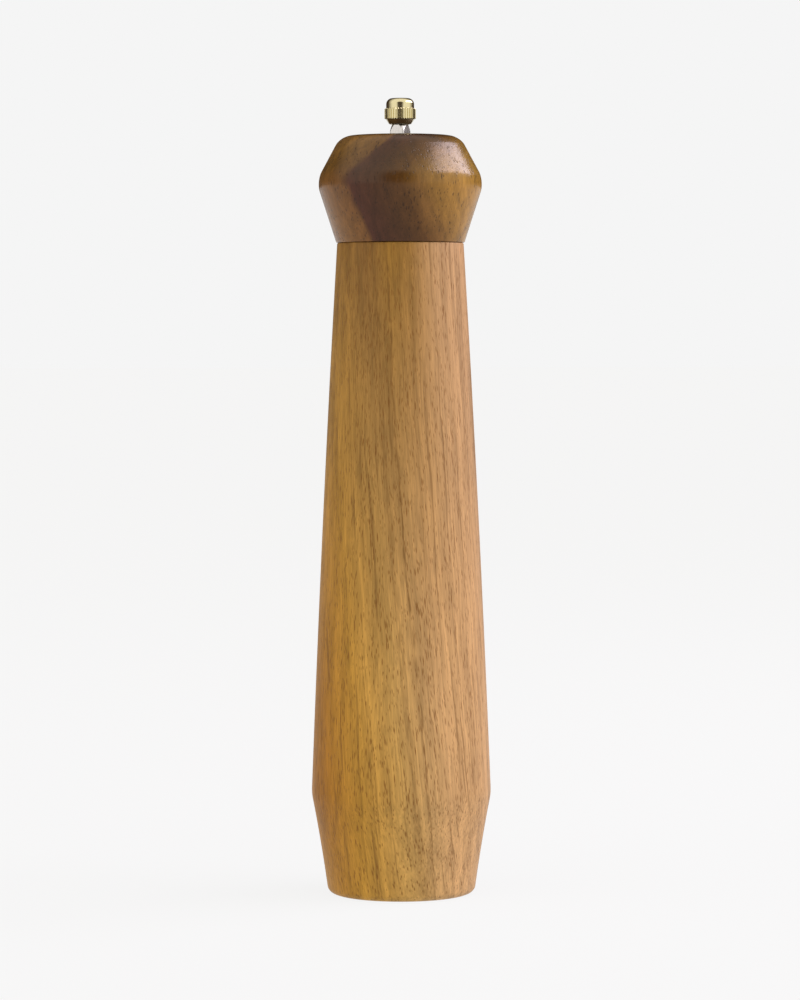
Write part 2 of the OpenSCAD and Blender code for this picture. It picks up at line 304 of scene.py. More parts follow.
def add(tree, kind, sockets=(), stops=(), **settings):
    """Adds a shader node with its settings, fills its sockets from values or nodes, and sets any stops."""
    made = tree.nodes.new("ShaderNode" + kind)
    for name, value in settings.items():
        setattr(made, name, value)
    for key, value in dict(sockets).items():
        source = value.outputs[0] if isinstance(value, bpy.types.Node) else value
        if isinstance(source, bpy.types.NodeSocket):
            tree.links.new(source, made.inputs[key])
        else:
            made.inputs[key].default_value = source
    for i, (place, colour) in enumerate(stops):
        stop = made.color_ramp.elements[i] if i < 2 else made.color_ramp.elements.new(place)
        stop.position = place
        stop.color = srgb(colour)
    return made


def finish(name):
    """A new material: its node tree and its shader."""
    material = bpy.data.materials.new(name)
    material.use_nodes = True
    return material, material.node_tree, material.node_tree.nodes["Principled BSDF"]


def in_millimetres(tree, stretch=(1, 1, 1)):
    """Object coordinates in mm, divided by the size of a feature on each axis."""
    place = add(tree, "TexCoord").outputs["Object"]
    return add(tree, "VectorMath", {0: place, 1: [1 / MM / s for s in stretch]}, operation="MULTIPLY")


def per_mm(*sizes):
    """How many features of each size there are in a millimetre."""
    return [1 / size for size in sizes]


def pores(tree, grain, cell, widest, crowding):
    """Cut vessels as thin spindles along the grain: 1 inside a pore and 0 outside. cell is the room that each
    takes across and along the grain, widest is a share of it, and crowding swells them in open wood."""
    across, along = cell
    cells = add(tree, "VectorMath", {0: grain, 1: per_mm(across, across, along)}, operation="MULTIPLY")
    spots = add(tree, "TexVoronoi", {"Vector": cells, "Scale": 1.0})
    luck = add(tree, "SeparateColor", {0: spots.outputs["Color"]})
    size = add(tree, "MapRange", {0: luck, 1: 0.0, 2: 0.8, 3: 0.0, 4: widest})
    swollen = add(tree, "Math", {0: size, 1: crowding}, operation="MULTIPLY")
    heart = add(tree, "Math", {0: swollen, 1: 0.5}, operation="MULTIPLY")
    return add(tree, "MapRange", {0: spots.outputs["Distance"], 1: swollen, 2: heart, 3: 0.0, 4: 1.0})


def oil_the_grain(tree, shader, grain, colour, crowding, fibre_size, fibre_depth, vessel_sizes, vessel_colour,
                  gloss, ior):
    """The finish that both woods share: fibre lines, cut vessels, a little relief and the oil's sheen. gloss
    is the roughness of hard and of soft fibre. Real fibres are finer than 0.1 mm, and are drawn 0.5 mm wide
    to show at all."""
    threads = add(tree, "VectorMath", {0: grain, 1: per_mm(*fibre_size)}, operation="MULTIPLY")
    fibre = add(tree, "TexNoise", {"Vector": threads, "Scale": 1.0, "Detail": 2.0, "Roughness": 0.6})
    low, high = 1.0 - fibre_depth, 1.0 + 0.8 * fibre_depth
    shade = add(tree, "MapRange", {0: fibre, 1: 0.3, 2: 0.7, 3: low, 4: high})
    streaked = add(tree, "Mix", {0: 1.0, 6: colour, 7: shade}, data_type="RGBA", blend_type="MULTIPLY")
    wide, fine = (pores(tree, grain, cell, widest, crowding) for cell, widest in vessel_sizes)
    vessel = add(tree, "Math", {0: wide, 1: fine}, operation="MAXIMUM")
    depth = add(tree, "Math", {0: vessel, 1: 0.7}, operation="MULTIPLY")
    dark = add(tree, "Mix", {0: depth, 6: streaked.outputs[2], 7: srgb(vessel_colour)}, data_type="RGBA")
    tree.links.new(dark.outputs[2], shader.inputs["Base Color"])

    relief = add(tree, "Math", {0: vessel, 1: -1.5, 2: fibre}, operation="MULTIPLY_ADD")
    bump = add(tree, "Bump", {"Height": relief, "Strength": 0.45, "Distance": 0.1 * MM})
    tree.links.new(bump.outputs[0], shader.inputs["Normal"])
    rough = add(tree, "MapRange", {0: fibre, 1: 0.3, 2: 0.7, 3: gloss[1], 4: gloss[0]})
    tree.links.new(rough.outputs[0], shader.inputs["Roughness"])
    shader.inputs["IOR"].default_value = ior


def straight_acacia():
    """Body: acacia cut with the grain running up the mill, turned, sanded and oiled. The eye gets golden
    brown heartwood that pales to a pinkish tan towards the right, partly wood and partly painted sheen, a
    deep orange left edge, partly wood and partly painted warm light, a darker heart streak near the top that
    fades downwards, with painted shade from the head on it, bands that lean right as they come down,
    a few long dark lines, dense short pores and a satin, amber sheen."""
    material, tree, shader = finish("oiled_acacia_straight")
    place = in_millimetres(tree)
    slow = add(tree, "VectorMath", {0: place, 1: per_mm(12, 12, 45)}, operation="MULTIPLY")
    sway = add(tree, "TexNoise", {"Vector": slow, "Scale": 1.0, "Detail": 2.0})
    swing = add(tree, "VectorMath", {0: sway.outputs["Color"], 1: (3.0, 3.0, 0.0)}, operation="MULTIPLY")
    swayed = add(tree, "VectorMath", {0: place, 1: swing}, operation="ADD")
    parts = add(tree, "SeparateXYZ", {0: swayed})

    # The grain leans more the lower it is, and less towards the left
    drop = add(tree, "Math", {0: BODY_TOP, 1: parts.outputs["Z"]}, operation="SUBTRACT")
    steeper = add(tree, "Math", {0: drop, 1: 0.00013, 2: 0.04}, operation="MULTIPLY_ADD")
    lean = add(tree, "Math", {0: drop, 1: steeper}, operation="MULTIPLY")
    share = add(tree, "MapRange", {0: parts.outputs["X"], 1: -BELLY_R, 2: 10.0})
    leaned = add(tree, "Math", {0: lean, 1: share}, operation="MULTIPLY")
    across = add(tree, "Math", {0: parts.outputs["X"], 1: leaned}, operation="SUBTRACT")
    grain = add(tree, "CombineXYZ", {"X": across, "Y": parts.outputs["Y"], "Z": parts.outputs["Z"]})

    # Growth layers stand nearly square to the front, so they show as lines along the grain
    layer = add(tree, "Math", {0: parts.outputs["Y"], 1: 0.22, 2: across}, operation="MULTIPLY_ADD")
    first_layer, last_layer = -36.0, 24.0
    side = add(tree, "MapRange", {0: layer, 1: first_layer, 2: last_layer})
    # The orange left edge is partly painted warm light, and the paler, pinker right partly painted sheen
    low_wood_and_painted_light = add(tree, "ValToRGB", {0: side}, stops=[
        (0.0, "#A1640A"), (0.16, "#C28F37"), (0.33, "#C99D58"), (0.47, "#CCA068"), (0.6, "#D0A26E"),
        (0.77, "#C99C6A"), (1.0, "#BE9366")])
    # Near the neck: darker, partly a heart streak and partly painted shade under the head
    high_wood_and_painted_light = add(tree, "ValToRGB", {0: side}, stops=[
        (0.0, "#AA803C"), (0.16, "#A37837"), (0.33, "#885F2B"), (0.47, "#946B2B"), (0.6, "#986F36"),
        (0.77, "#B68C60"), (1.0, "#BA9067")])
    height = add(tree, "MapRange", {0: parts.outputs["Z"], 1: 70.0, 2: BODY_TOP})
    colour = add(tree, "Mix", {0: height, 6: low_wood_and_painted_light, 7: high_wood_and_painted_light}, data_type="RGBA")

    wave = add(tree, "Math", {0: layer, 1: 1 / 2.4}, operation="MULTIPLY")
    bands = add(tree, "TexNoise", {"W": wave, "Scale": 1.0, "Detail": 3.0, "Roughness": 0.6},
                noise_dimensions="1D")
    lanes = add(tree, "VectorMath", {0: grain, 1: per_mm(3.5, 3.5, 70)}, operation="MULTIPLY")
    drift = add(tree, "TexNoise", {"Vector": lanes, "Scale": 1.0, "Detail": 2.0})
    tone = add(tree, "Mix", {0: 0.55, 2: bands, 3: drift})
    band_shade = add(tree, "MapRange", {0: tone, 1: 0.38, 2: 0.62, 3: 0.80, 4: 1.14})
    banded = add(tree, "Mix", {0: 1.0, 6: colour.outputs[2], 7: band_shade}, data_type="RGBA",
                 blend_type="MULTIPLY")

    # Long dark lines, where vessels lie in a row
    rows = add(tree, "VectorMath", {0: grain, 1: per_mm(0.9, 6.0, 110)}, operation="MULTIPLY")
    row = add(tree, "TexNoise", {"Vector": rows, "Scale": 1.0, "Detail": 1.0})
    line = add(tree, "MapRange", {0: row, 1: 0.62, 2: 0.74, 3: 0.0, 4: 0.45})
    # Two chains of dark vessels: one down the middle of the front, and a broader one to its left
    chain = add(tree, "ValToRGB", {0: side}, stops=[
        (0.0, "#000000"), (0.36, "#000000"), (0.382, "#C8C8C8"), (0.405, "#6A6A6A"), (0.436, "#2C2C2C"),
        (0.456, "#FFFFFF"), (0.468, "#303030"), (0.50, "#000000")])
    knots = add(tree, "VectorMath", {0: grain, 1: per_mm(0.7, 0.7, 8)}, operation="MULTIPLY")
    knot = add(tree, "TexNoise", {"Vector": knots, "Scale": 1.0, "Detail": 2.0})
    linked = add(tree, "MapRange", {0: knot, 1: 0.35, 2: 0.6, 3: 0.1, 4: 0.75})
    chained = add(tree, "Math", {0: chain, 1: linked}, operation="MULTIPLY")
    marked = add(tree, "Math", {0: line, 1: chained}, operation="MAXIMUM")
    lined = add(tree, "Mix", {0: marked, 6: banded.outputs[2], 7: srgb("#65421C")}, data_type="RGBA")
    crowding = add(tree, "MapRange", {0: tone, 1: 0.38, 2: 0.62, 3: 1.15, 4: 0.65})
    oil_the_grain(tree, shader, grain, lined.outputs[2], crowding, (0.5, 0.5, 14), 0.20,
                  [((0.75, 7.0), 0.36), ((0.48, 4.0), 0.42)], "#754515", (0.42, 0.52), 1.46)
    shader.inputs["Specular Tint"].default_value = srgb("#FFDFAE")
    return material


def figured_acacia():
    """Head: acacia heartwood from near a crotch, turned, sanded and oiled. The eye gets one dark purple-brown
    band folded into an arrowhead, with olive on its left and golden brown on its right, scattered pores and a
    clear highlight."""
    material, tree, shader = finish("oiled_acacia_figured")
    place = in_millimetres(tree)
    slow = add(tree, "VectorMath", {0: place, 1: per_mm(14, 14, 14)}, operation="MULTIPLY")
    sway = add(tree, "TexNoise", {"Vector": slow, "Scale": 1.0, "Detail": 3.0})
    swing = add(tree, "VectorMath", {0: sway.outputs["Color"], 1: (5.0, 5.0, 5.0)}, operation="MULTIPLY")
    settle = add(tree, "VectorMath", {0: swing, 1: (2.5, 2.5, 2.5)}, operation="SUBTRACT")
    grain = add(tree, "VectorMath", {0: place, 1: settle}, operation="ADD")
    parts = add(tree, "SeparateXYZ", {0: grain})

    # The layers fold about a level line just above the ridge, bluntly
    fold_z, blunt = SEAM_Z + RIDGE_H + 1.2, 3.0
    rise = add(tree, "Math", {0: parts.outputs["Z"], 1: fold_z}, operation="SUBTRACT")
    square = add(tree, "Math", {0: rise, 1: rise, 2: blunt ** 2}, operation="MULTIPLY_ADD")
    fold = add(tree, "Math", {0: square}, operation="SQRT")
    folded = add(tree, "Math", {0: fold, 1: -1.0, 2: parts.outputs["X"]}, operation="MULTIPLY_ADD")
    steeper = add(tree, "Math", {0: rise, 1: -0.42, 2: folded}, operation="MULTIPLY_ADD")
    layer = add(tree, "Math", {0: parts.outputs["Y"], 1: 0.2, 2: steeper}, operation="MULTIPLY_ADD")
    first_layer, last_layer = -54.0, 21.0
    tone = add(tree, "MapRange", {0: layer, 1: first_layer, 2: last_layer})
    colour = add(tree, "ValToRGB", {0: tone}, stops=[
        (0.0, "#94683C"), (0.147, "#94683C"), (0.227, "#865C2E"), (0.325, "#764E28"), (0.35, "#4A281D"),
        (0.43, "#48291A"), (0.51, "#4E3018"), (0.6, "#5E3C1A"), (0.69, "#80592A"), (0.77, "#8E662C"),
        (0.88, "#A27634"), (1.0, "#A27634")])
    # Above the fold the colour is darker and more olive. The top is darker still: its end grain has soaked up
    # more oil, and it carries painted shade from the nut above it
    crossing = add(tree, "MapRange", {0: rise, 1: -4.0, 2: 3.0})
    upper = add(tree, "Mix", {0: crossing, 6: srgb("#FFFFFF"), 7: srgb("#D8E0C6")}, data_type="RGBA")
    browned = add(tree, "Mix", {0: 1.0, 6: colour, 7: upper.outputs[2]}, data_type="RGBA",
                  blend_type="MULTIPLY")
    height = add(tree, "SeparateXYZ", {0: place}).outputs["Z"]
    end_grain_and_nut_shade = add(tree, "MapRange", {0: height, 1: CROWN_Z - 1.0, 2: CROWN_Z - 0.2, 3: 1.0, 4: 0.45})
    toned = add(tree, "Mix", {0: 1.0, 6: browned.outputs[2], 7: end_grain_and_nut_shade}, data_type="RGBA",
                blend_type="MULTIPLY")

    cloud = add(tree, "VectorMath", {0: grain, 1: per_mm(3.5, 3.5, 12)}, operation="MULTIPLY")
    clouds = add(tree, "TexNoise", {"Vector": cloud, "Scale": 1.0, "Detail": 3.0})
    mottle = add(tree, "MapRange", {0: clouds, 1: 0.35, 2: 0.65, 3: 0.84, 4: 1.16})
    mottled = add(tree, "Mix", {0: 1.0, 6: toned.outputs[2], 7: mottle}, data_type="RGBA",
                  blend_type="MULTIPLY")
    wave = add(tree, "Math", {0: layer, 1: 1 / 2.2}, operation="MULTIPLY")
    lines = add(tree, "TexNoise", {"W": wave, "Scale": 1.0, "Detail": 1.0}, noise_dimensions="1D")
    lines_shade = add(tree, "MapRange", {0: lines, 1: 0.35, 2: 0.65, 3: 0.90, 4: 1.07})
    lined = add(tree, "Mix", {0: 1.0, 6: mottled.outputs[2], 7: lines_shade}, data_type="RGBA",
                blend_type="MULTIPLY")
    crowding = add(tree, "MapRange", {0: clouds, 1: 0.35, 2: 0.65, 3: 1.2, 4: 0.5})
    oil_the_grain(tree, shader, grain, lined.outputs[2], crowding, (0.6, 0.6, 5), 0.13,
                  [((1.1, 5.5), 0.31), ((0.75, 3.4), 0.34)], "#2A1508", (0.21, 0.27), 1.44)
    shader.inputs["Specular Tint"].default_value = srgb("#FFEBD8")
    return material


def worked_metal(name, colour, roughness, stretch, scratch):
    """A bare or plated metal, with the fine lines that drawing, brushing or polishing leave. stretch is the
    size of a line on each axis in mm, and scratch is how far the lines change the roughness. Real lines are
    far finer than 0.1 mm, and are drawn coarser to show."""
    relief = 0.004
    material, tree, shader = finish(name)
    lines = add(tree, "TexNoise", {"Vector": in_millimetres(tree, stretch), "Scale": 1.0, "Detail": 3.0})
    shine = add(tree, "MapRange", {0: lines, 1: 0.3, 2: 0.7, 3: roughness - scratch, 4: roughness + scratch})
    tint = add(tree, "MapRange", {0: lines, 1: 0.3, 2: 0.7, 3: 0.93, 4: 1.0})
    tinted = add(tree, "Mix", {0: 1.0, 6: srgb(colour), 7: tint}, data_type="RGBA", blend_type="MULTIPLY")
    tree.links.new(tinted.outputs[2], shader.inputs["Base Color"])
    tree.links.new(shine.outputs[0], shader.inputs["Roughness"])
    bump = add(tree, "Bump", {"Height": lines, "Strength": 0.5, "Distance": relief * MM})
    tree.links.new(bump.outputs[0], shader.inputs["Normal"])
    shader.inputs["Metallic"].default_value = 1.0
    return material


def moulded(name, colour, roughness, speck, ior=1.5, soak=0.0):
    """Moulded plastic or pressed ceramic: one colour right through, a fine surface texture of speck mm, and a
    little light soaking in where soak is above 0."""
    material, tree, shader = finish(name)
    skin = add(tree, "TexNoise", {"Vector": in_millimetres(tree, (speck,) * 3), "Scale": 1.0, "Detail": 2.0})
    shade = add(tree, "MapRange", {0: skin, 1: 0.3, 2: 0.7, 3: 0.94, 4: 1.04})
    toned = add(tree, "Mix", {0: 1.0, 6: srgb(colour), 7: shade}, data_type="RGBA", blend_type="MULTIPLY")
    tree.links.new(toned.outputs[2], shader.inputs["Base Color"])
    rough = add(tree, "MapRange", {0: skin, 1: 0.3, 2: 0.7, 3: roughness - 0.05, 4: roughness + 0.05})
    tree.links.new(rough.outputs[0], shader.inputs["Roughness"])
    bump = add(tree, "Bump", {"Height": skin, "Strength": 0.4, "Distance": 0.03 * MM})
    tree.links.new(bump.outputs[0], shader.inputs["Normal"])
    shader.inputs["IOR"].default_value = ior
    shader.inputs["Subsurface Weight"].default_value = soak
    shader.inputs["Subsurface Scale"].default_value = 1.0 * MM
    return material


body_wood = straight_acacia()
head_wood = figured_acacia()
gilt = worked_metal("gilt_brass_polished", "#D2C89F", 0.15, (0.4, 0.4, 0.4), 0.05)
drawn_aluminium = worked_metal("aluminium_drawn", "#DAD8D6", 0.30, (0.12, 0.12, 6), 0.08)
stamped_steel = worked_metal("stainless_stamped_brushed", "#C9C8C6", 0.30, (9, 0.12, 0.12), 0.08)
zinc_plate = worked_metal("steel_zinc_plated", "#C3C8CF", 0.24, (0.5, 0.5, 0.5), 0.08)
spring_steel = worked_metal("spring_steel_wire", "#A9A9AB", 0.28, (0.3, 0.3, 0.3), 0.06)
moulded_grey = moulded("nylon_moulded_dark_grey", "#2B2C2E", 0.45, 0.35)
moulded_white = moulded("acetal_moulded_white", "#E4E2DA", 0.38, 0.5, soak=0.2)
fired_ceramic = moulded("alumina_fired", "#EDEAE1", 0.42, 0.25, ior=1.7, soak=0.1)


# ---- Wooden body and head ----------------------------------------------------------------------------------

def turn_body():
    """The long column, its chamber and the stepped recess in its foot."""
    foot, belly, neck = (FOOT_R, 0), (BELLY_R, BELLY_Z), (NECK_R, BODY_TOP)
    rim, mouth = (RECESS_R, 0), (CHAMBER_R, BODY_TOP)
    piece = draw_outline("turned_body", [
        rim, foot, *bowed(foot, belly, -FOOT_HOLLOW, 8), belly, *bowed(belly, neck, TAPER_BOW, 24), neck,
        mouth, (CHAMBER_R, MECHANISM_TOP), (MECHANISM_R, MECHANISM_TOP), (MECHANISM_R, RECESS_TOP),
        (RECESS_R, RECESS_TOP)])
    ease(piece, foot, 2.6)
    ease(piece, belly, 1.9)
    ease(piece, neck, 0.45, 4)
    ease(piece, mouth, 0.6, 4)
    ease(piece, rim, 0.5, 4)
    turn(piece, 240)
    fit(piece, "mill_body", "body_wood", body_wood, "body")


def turn_head():
    """The faceted head with the tenon that drops into the body."""
    base, ridge, crown = (HEAD_BASE_R, SEAM_Z), (RIDGE_R, SEAM_Z + RIDGE_H), (CROWN_R, CROWN_Z)
    tenon, bore = (TENON_R, TENON_Z), (SHAFT_HOLE_R, CROWN_Z)
    piece = draw_outline("turned_head", [
        (SHAFT_HOLE_R, TENON_Z), tenon, (TENON_R, SEAM_Z), base, ridge, crown, bore])
    ease(piece, tenon, 0.8, 4)
    ease(piece, base, 0.35, 4)
    ease(piece, ridge, 4.2, 12)
    ease(piece, crown, 4.1, 12)
    ease(piece, bore, 0.4, 3)
    turn(piece, 240)
    fit(piece, "head", "head_wood", head_wood, "head")


turn_body()
turn_head()


# ---- Knurled nut -------------------------------------------------------------------------------------------

def turn_nut():
    """The gilt nut: a domed cap, a straight knurl and a coned foot, bored from below."""
    ribs, per_rib = 36, 6
    root = KNURL_R - 0.35
    dome = KNURL_R - 0.65
    knurl_low, knurl_high = NUT_Z + 1.9, NUT_Z + 6.0
    shoulder = (dome, NUT_TOP)
    foot = (KNURL_R - 1.75, NUT_Z)
    bore_r, bore_top, mouth_r, mouth_top = 3.05, NUT_Z + 8.8, 3.93, NUT_Z + 2
    piece = draw_outline("knurled_nut", [
        (0, bore_top), (bore_r, bore_top), (bore_r, mouth_top), (mouth_r, NUT_Z), foot,
        (dome, knurl_low - 0.15), (root, knurl_low), (root, knurl_low + 0.25), (root, knurl_high - 0.25),
        (root, knurl_high), (dome, knurl_high + 0.1), shoulder, (0, NUT_TOP)], closed=False)
    ease(piece, shoulder, 2.3, 10)
    ease(piece, foot, 0.2, 3)
    turn(piece, ribs * per_rib)
    bpy.ops.object.mode_set(mode="EDIT")

    def on_crest(p):
        """The knurl's three crest points of every six round the nut."""
        turned = math.degrees(math.atan2(p.y, p.x)) % 360 / (360 / ribs / per_rib)
        banded = knurl_low + 0.2 < p.z < knurl_high - 0.2
        return banded and math.hypot(p.x, p.y) > root - 0.01 and round(turned) % per_rib < 3

    pick(piece, on_crest)
    grow = KNURL_R / root
    middle = (0, 0, (knurl_low + knurl_high) / 2 * MM)
    bpy.ops.transform.resize(value=(grow, grow, 1), center_override=middle)
    smooth(piece, 25)
    fit(piece, "nut", "gilt_nut", gilt, "adjusting_nut")


turn_nut()


# ---- Shaft -------------------------------------------------------------------------------------------------

def make_shaft():
    """The square bar with eased corners, coned at the top up to an M6 thread, and a grooved journal below."""
    core, crest, corner_r, cone_h, blank_r = 2.5, 2.97, 4.03, 3.0, 5
    shaft = block((SHAFT_W, SHAFT_W, SHOULDER_TOP - JOURNAL_TOP), (0, 0, (SHOULDER_TOP + JOURNAL_TOP) / 2),
                  SHAFT_TURN)
    shaft.name = shaft.data.name = "square_shaft"
    pick(shaft, lambda a, b: abs(a.z - b.z) > 1, "EDGE")
    bpy.ops.mesh.bevel(offset=0.45 * MM, segments=4, affect="EDGES")
    slope = (corner_r - crest) / cone_h
    cone_foot = SHOULDER_TOP - (blank_r - crest) / slope
    envelope = draw_outline("lathe_envelope", [
        (0, JOURNAL_TOP - 1), (blank_r, JOURNAL_TOP - 1), (blank_r, cone_foot), (crest, SHOULDER_TOP),
        (0, SHOULDER_TOP)], closed=False)
    turn(envelope, 96)
    carve(shaft, envelope, "INTERSECT")

    stud = draw_outline("stud", [
        (0, SHOULDER_TOP - 1), (core, SHOULDER_TOP - 1), (core, SHAFT_TOP - 0.6), (core - 0.6, SHAFT_TOP),
        (0, SHAFT_TOP)], closed=False)
    turn(stud, 64)
    carve(stud, thread_ridge(crest, core, SHOULDER_TOP - 0.3, SHAFT_TOP - 0.9, 1), "UNION")
    carve(shaft, stud, "UNION")

    foot, groove, groove_top, journal_r, groove_r = height_of("drive_shaft", 0), 4.4, 5.1, 2.5, 2.0
    journal = draw_outline("journal", [
        (0, foot), (journal_r - 0.4, foot), (journal_r, foot + 0.4), (journal_r, groove), (groove_r, groove),
        (groove_r, groove_top), (journal_r, groove_top), (journal_r, JOURNAL_TOP + 1), (0, JOURNAL_TOP + 1)],
        closed=False)
    turn(journal, 64)
    carve(shaft, journal, "UNION")
    smooth(shaft, 28)
    fit(shaft, "spindle", "shaft_metal", drawn_aluminium, "drive_shaft")


make_shaft()


# ---- Screws ------------------------------------------------------------------------------------------------

def model_screw():
    """A pan head screw that stands on its head at the origin, with a domed head, a tapered cross recess, a
    thread and a point."""
    head_r, head_h, crest, core, length = 2.3, 1.6, 1.25, 0.85, 11.6
    rim = (head_r, 0.75)
    screw = draw_outline("screw", [
        (0, 0), (0.9, 0), (1.7, 0.2), rim, (head_r, head_h), (crest, head_h), (crest, head_h + 1.2),
        (core, head_h + 1.6), (core, length - 2), (0.1, length), (0, length)], closed=False)
    ease(screw, rim, 0.35, 3)
    turn(screw, 48)
    carve(screw, thread_ridge(crest, core, head_h + 1.9, length - 2.2, 1.1), "UNION")
    recess_h = 1.2
    for turned in (0, 90):
        blade = block((2.8, 0.8, 2 * recess_h), (0, 0, 0), turned)
        pick(blade, lambda p: p.z > 1)
        bpy.ops.transform.resize(value=(0.55, 0.55, 1), center_override=(0, 0, recess_h * MM))
        carve(screw, blade)
    smooth(screw, 30)
    return screw


def drive_screw(pattern, node, body, place):
    """Sets a copy of the pattern screw at its place, as the CAD node it stands for."""
    take_up(pattern)
    bpy.ops.object.duplicate(linked=False)
    copy = bpy.context.object
    copy.name = copy.data.name = "threaded_" + node
    copy.location = place * MM
    fit(settled(copy), body, "screw_steel", zinc_plate, node)


pattern = model_screw()
for number, side in (("1", 0), ("2", 180)):
    low = height_of("base_plate_screw_" + number, 0)
    drive_screw(pattern, "base_plate_screw_" + number, "mill_body", around(BASE_SCREW_R, side, low))
    low = height_of("drive_plate_screw_" + number, 0)
    drive_screw(pattern, "drive_plate_screw_" + number, "head", around(DRIVE_SCREW_R, SHAFT_TURN + side, low))
bpy.data.objects.remove(pattern, do_unlink=True)


# ---- Plates and washers ------------------------------------------------------------------------------------

def washer(name, outer, inner, node):
    """A flat stamped ring between a CAD node's two faces, its rims eased."""
    edge = 0.15
    low, high = height_of(node, 0), height_of(node, 1)
    corners = [(inner, low), (outer, low), (outer, high), (inner, high)]
    piece = draw_outline(name, corners)
    for corner in corners:
        ease(piece, corner, edge, 2)
    turn(piece, 96)
    return piece


def drill(piece, radius, places):
    """Drills holes right through at places round the axis."""
    for place in places:
        carve(piece, rod(radius, place.z - 10, place.z + 10, place, 32))


def stamp_plates():
    """The base plate with its cross bar, the drive plate with its square hole, and the two washers."""
    bar_w, ring_r, journal_hole_r, drive_r, edge = 9, 15.3, 2.6, 12.5, 0.22
    low, high = height_of("base_plate", 0), height_of("base_plate", 1)
    base = rod(FLANGE_R, low, high, sides=144)
    base.name = base.data.name = "stamped_base_plate"
    for side in (-1, 1):
        window = rod(ring_r, low - 1, high + 1, sides=96)
        keep = block((2 * FLANGE_R, 2 * FLANGE_R, 8), (0, side * (bar_w / 2 - FLANGE_R), low))
        carve(window, keep)
        carve(base, window)
    drill(base, journal_hole_r, [around(0, 0, low)])
    drill(base, SCREW_HOLE_R, [around(BASE_SCREW_R, side, low) for side in (0, 180)])
    break_edges(base, edge)
    fit(base, "mill_body", "stamped_steel", stamped_steel, "base_plate")

    low, high = height_of("drive_plate", 0), height_of("drive_plate", 1)
    drive = rod(drive_r, low, high, sides=96)
    drive.name = drive.data.name = "stamped_drive_plate"
    carve(drive, block((SQUARE_HOLE_W, SQUARE_HOLE_W, 8), (0, 0, low), SHAFT_TURN))
    drill(drive, SCREW_HOLE_R, [around(DRIVE_SCREW_R, SHAFT_TURN + side, low) for side in (0, 180)])
    break_edges(drive, edge)
    fit(drive, "head", "stamped_steel", stamped_steel, "drive_plate")

    fit(washer("flat_spring_washer", 6.5, 4.5, "spring_washer"), "spindle", "stamped_steel", stamped_steel,
        "spring_washer")
    fit(washer("flat_rotor_washer", 4.6, 2.6, "rotor_washer"), "spindle", "stamped_steel", stamped_steel,
        "rotor_washer")


stamp_plates()


# ---- Spring ------------------------------------------------------------------------------------------------

def wind_spring():
    """The compression spring: five turns of 1.1 mm wire, of which the two end turns lie flat. It is held
    at the bush."""
    wire, radius, turns, per_turn, travel = 1.1, 5.3, 5, 36, 1.5
    low = SPRING_Z + wire / 2 + 0.05
    high = BUSH_Z - wire / 2 - 0.05
    flat = wire + 0.02
    open_pitch = (high - low - 2 * flat) / (turns - 2)
    points = []
    for i in range(turns * per_turn + 1):
        wound = i / per_turn
        first, last = min(wound, 1), max(wound - turns + 1, 0)
        rise = flat * (first + last) + open_pitch * min(max(wound - 1, 0), turns - 2)
        points.append(around(radius, 360 * wound, low + rise))
    spring = draw_path("wound_spring", points)
    put_down()
    take_up(spring)
    bpy.ops.object.convert(target="CURVE")
    spring = bpy.context.object
    spring.data.bevel_depth = wire / 2 * MM
    spring.data.bevel_resolution = 3
    spring.data.use_fill_caps = True
    bpy.ops.object.convert(target="MESH")
    bpy.ops.object.mode_set(mode="EDIT")
    close_up()
    smooth(spring, 60)
    fit(spring, "bearing", "spring_steel", spring_steel, "rotor_spring")
    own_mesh(spring)


wind_spring()


# ---- Moulded housing, bridge and bush ----------------------------------------------------------------------

def mould_housing():
    """The flanged cup that holds the stator, with a ledge over it and three keys that stop it turning."""
    low, top = height_of("grinder_housing", 0), height_of("grinder_housing", 1)
    flange_top, stator_top, ledge_top = low + 2, low + 13.1, low + 14.6
    rim, step = (FLANGE_R, flange_top), (HOUSING_R, flange_top)
    ledge_r = HOUSING_INNER_R - 1.2
    corners = [(HOUSING_INNER_R, low), (FLANGE_R, low), rim, (HOUSING_R, top), (HOUSING_INNER_R, top)]
    cup = draw_outline("moulded_housing", [
        (HOUSING_INNER_R, low), (FLANGE_R, low), rim, step, (HOUSING_R, top), (HOUSING_INNER_R, top),
        (HOUSING_INNER_R, ledge_top), (ledge_r, ledge_top), (ledge_r, stator_top),
        (HOUSING_INNER_R, stator_top)])
    for corner in corners:
        ease(cup, corner, 0.25, 3)
    turn(cup, 144)
    for angle in (0, 120, 240):
        key = block((1.4, 3, 11), around(HOUSING_INNER_R - 0.3, angle, flange_top + 5.5), angle)
        carve(cup, key, "UNION")
    drill(cup, SCREW_HOLE_R, [around(BASE_SCREW_R, side, low) for side in (0, 180)])
    smooth(cup, 30)
    fit(cup, "mill_body", "grey_plastic", moulded_grey, "grinder_housing")


